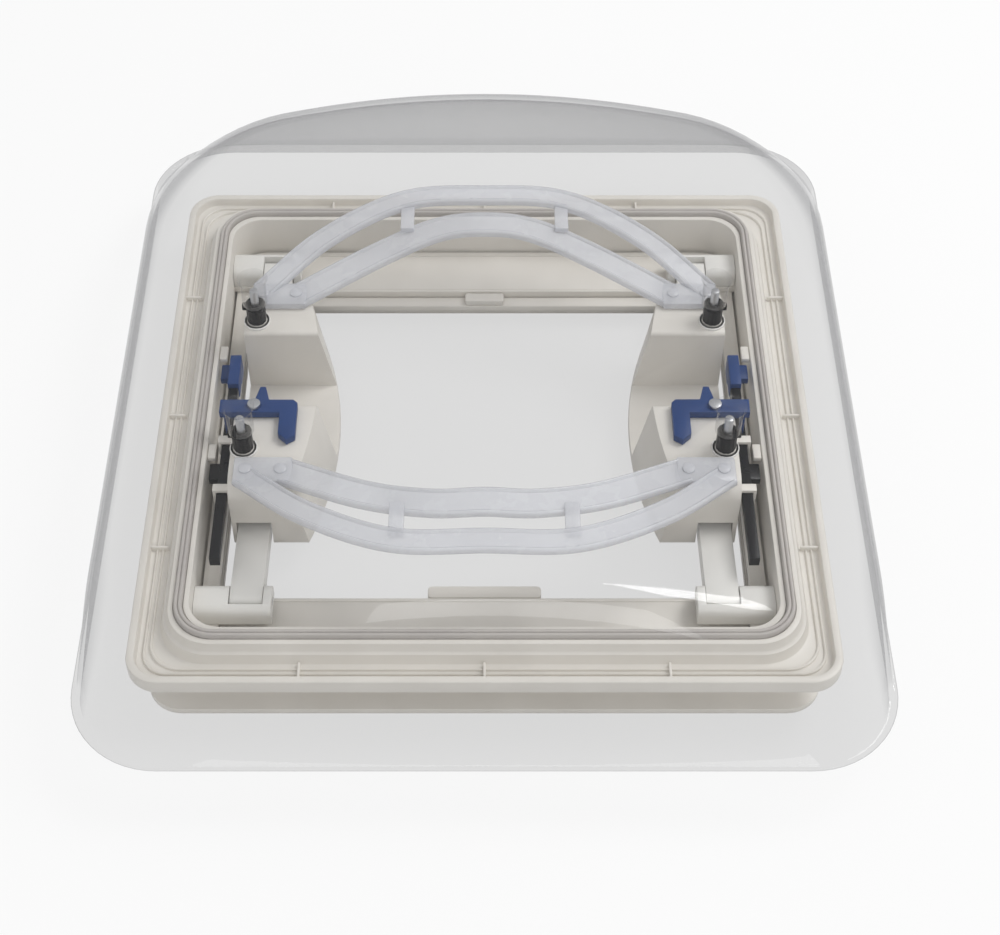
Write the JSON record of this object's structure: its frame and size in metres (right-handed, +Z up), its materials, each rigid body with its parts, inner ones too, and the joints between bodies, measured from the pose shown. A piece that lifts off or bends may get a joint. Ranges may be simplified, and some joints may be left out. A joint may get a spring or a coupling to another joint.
{
  "type": "rooflight",
  "caption": "Pop-up caravan rooflight: a clear dome on two side brackets that four levers raise above a roof frame, with a flyscreen and a blind below",
  "frame": {"origin": "Middle of the opening in plan, on the underside of the ceiling frame, which is the lowest face of the part.", "axes": "+Z is up, out of the roof. +Y is the rear, where the flyscreen is parked. +X is the right-hand side seen from the front. The part is symmetric about the YZ plane."},
  "size_m": [0.524, 0.586, 0.151],
  "materials": {
    "ivory_plastic": "satin moulded",
    "white_plastic": "satin moulded",
    "clear_acrylic": "polished clear",
    "frosted_plastic": "translucent",
    "black_plastic": "moulded",
    "blue_plastic": "moulded",
    "grey_rubber": "soft",
    "zinc_steel": "zinc plated",
    "roller_aluminium": "mill",
    "screen_cloth": "fine mesh",
    "blind_cloth": "coated cloth"
  },
  "bodies": {
    "root": {"outer_frame": "ivory_plastic", "lock_keeper_rear_left": "ivory_plastic", "lock_keeper_rear_right": "ivory_plastic", "lock_keeper_front_left": "ivory_plastic", "lock_keeper_front_right": "ivory_plastic", "upstand_seal": "grey_rubber", "ceiling_frame": "ivory_plastic", "flyscreen_cassette_cover": "ivory_plastic", "blind_cassette_cover": "ivory_plastic", "flyscreen_roller_spring": "zinc_steel", "blind_roller_spring": "zinc_steel", "clamp_screw_front_left": "zinc_steel", "clamp_screw_front_right": "zinc_steel", "clamp_screw_rear_left": "zinc_steel", "clamp_screw_rear_right": "zinc_steel", "hinge_bracket_front_left": "white_plastic", "hinge_bracket_front_right": "white_plastic", "hinge_bracket_rear_left": "white_plastic", "hinge_bracket_rear_right": "white_plastic", "hinge_pin_front_left": "zinc_steel", "hinge_pin_front_right": "zinc_steel", "hinge_pin_rear_left": "zinc_steel", "hinge_pin_rear_right": "zinc_steel"},
    "lid": {"dome": "clear_acrylic", "front_hoop_handle": "frosted_plastic", "rear_hoop_handle": "frosted_plastic", "side_bracket_left": "ivory_plastic", "side_bracket_right": "ivory_plastic", "lock_catch_screw_left": "zinc_steel", "lock_catch_screw_right": "zinc_steel", "post_spacer_front_left": "black_plastic", "post_spacer_front_right": "black_plastic", "post_spacer_rear_left": "black_plastic", "post_spacer_rear_right": "black_plastic", "dome_bolt_front_left": "zinc_steel", "dome_bolt_front_right": "zinc_steel", "dome_bolt_rear_left": "zinc_steel", "dome_bolt_rear_right": "zinc_steel"},
    "lever_front_left": {"lift_lever_front_left": "white_plastic", "lift_pin_front_left": "zinc_steel"},
    "lever_front_right": {"lift_lever_front_right": "white_plastic", "lift_pin_front_right": "zinc_steel"},
    "lever_rear_left": {"lift_lever_rear_left": "white_plastic", "lift_pin_rear_left": "zinc_steel"},
    "lever_rear_right": {"lift_lever_rear_right": "white_plastic", "lift_pin_rear_right": "zinc_steel"},
    "catch_left": {"lock_catch_left": "blue_plastic"},
    "lock_left": {"lock_rod_left": "black_plastic", "lock_head_left": "blue_plastic"},
    "catch_right": {"lock_catch_right": "blue_plastic"},
    "lock_right": {"lock_rod_right": "black_plastic", "lock_head_right": "blue_plastic"},
    "flyscreen_bar": {"flyscreen_pull_bar": "ivory_plastic", "flyscreen_grip": "ivory_plastic"},
    "flyscreen_roll": {"flyscreen_roller": "roller_aluminium", "flyscreen_cloth_roll": "screen_cloth"},
    "blind_bar": {"blind_pull_bar": "ivory_plastic", "blind_grip": "ivory_plastic"},
    "blind_roll": {"blind_roller": "roller_aluminium", "blind_cloth_roll": "blind_cloth"}
  },
  "joints": [
    {"name": "lid_lift", "type": "slide", "parent": "root", "child": "lid", "axis": [0, 0, 1], "range_m": [0, 0.058]},
    {"name": "lever_front_left_turn", "type": "hinge", "parent": "root", "child": "lever_front_left", "pos_m": [-0.1592, -0.158, 0.035], "axis": [1, 0, 0], "range_deg": [0, 40.88]},
    {"name": "lever_front_right_turn", "type": "hinge", "parent": "root", "child": "lever_front_right", "pos_m": [0.1592, -0.158, 0.035], "axis": [1, 0, 0], "range_deg": [0, 40.88]},
    {"name": "lever_rear_left_turn", "type": "hinge", "parent": "root", "child": "lever_rear_left", "pos_m": [-0.1592, 0.158, 0.035], "axis": [-1, 0, 0], "range_deg": [0, 40.88]},
    {"name": "lever_rear_right_turn", "type": "hinge", "parent": "root", "child": "lever_rear_right", "pos_m": [0.1592, 0.158, 0.035], "axis": [-1, 0, 0], "range_deg": [0, 40.88]},
    {"name": "catch_left_turn", "type": "hinge", "parent": "lid", "child": "catch_left", "pos_m": [-0.16, -0.027, 0.0826], "axis": [0, 0, -1], "range_deg": [0, 22.97]},
    {"name": "lock_left_slide", "type": "slide", "parent": "lid", "child": "lock_left", "axis": [0, 1, 0], "range_m": [0, 0.0084]},
    {"name": "catch_right_turn", "type": "hinge", "parent": "lid", "child": "catch_right", "pos_m": [0.16, -0.027, 0.0826], "axis": [0, 0, 1], "range_deg": [0, 22.97]},
    {"name": "lock_right_slide", "type": "slide", "parent": "lid", "child": "lock_right", "axis": [0, 1, 0], "range_m": [0, 0.0084]},
    {"name": "flyscreen_pull", "type": "slide", "parent": "root", "child": "flyscreen_bar", "axis": [0, -1, 0], "range_m": [0, 0.28]},
    {"name": "flyscreen_roll_turn", "type": "hinge", "parent": "root", "child": "flyscreen_roll", "pos_m": [0, 0.169, 0.012], "axis": [1, 0, 0], "range_deg": [0, 2005.5]},
    {"name": "blind_pull", "type": "slide", "parent": "root", "child": "blind_bar", "axis": [0, 1, 0], "range_m": [0, 0.27]},
    {"name": "blind_roll_turn", "type": "hinge", "parent": "root", "child": "blind_roll", "pos_m": [0, -0.169, 0.012], "axis": [-1, 0, 0], "range_deg": [0, 1933.8]}
  ],
  "couplings": [
    {"joint": "lever_front_left_turn", "follows": "lid_lift", "rad_per_m": 12.299},
    {"joint": "lever_front_right_turn", "follows": "lid_lift", "rad_per_m": 12.299},
    {"joint": "lever_rear_left_turn", "follows": "lid_lift", "rad_per_m": 12.299},
    {"joint": "lever_rear_right_turn", "follows": "lid_lift", "rad_per_m": 12.299},
    {"joint": "lock_left_slide", "follows": "catch_left_turn", "m_per_rad": 0.0205},
    {"joint": "lock_right_slide", "follows": "catch_right_turn", "m_per_rad": 0.0205},
    {"joint": "flyscreen_roll_turn", "follows": "flyscreen_pull", "rad_per_m": 125},
    {"joint": "blind_roll_turn", "follows": "blind_pull", "rad_per_m": 125}
  ]
}
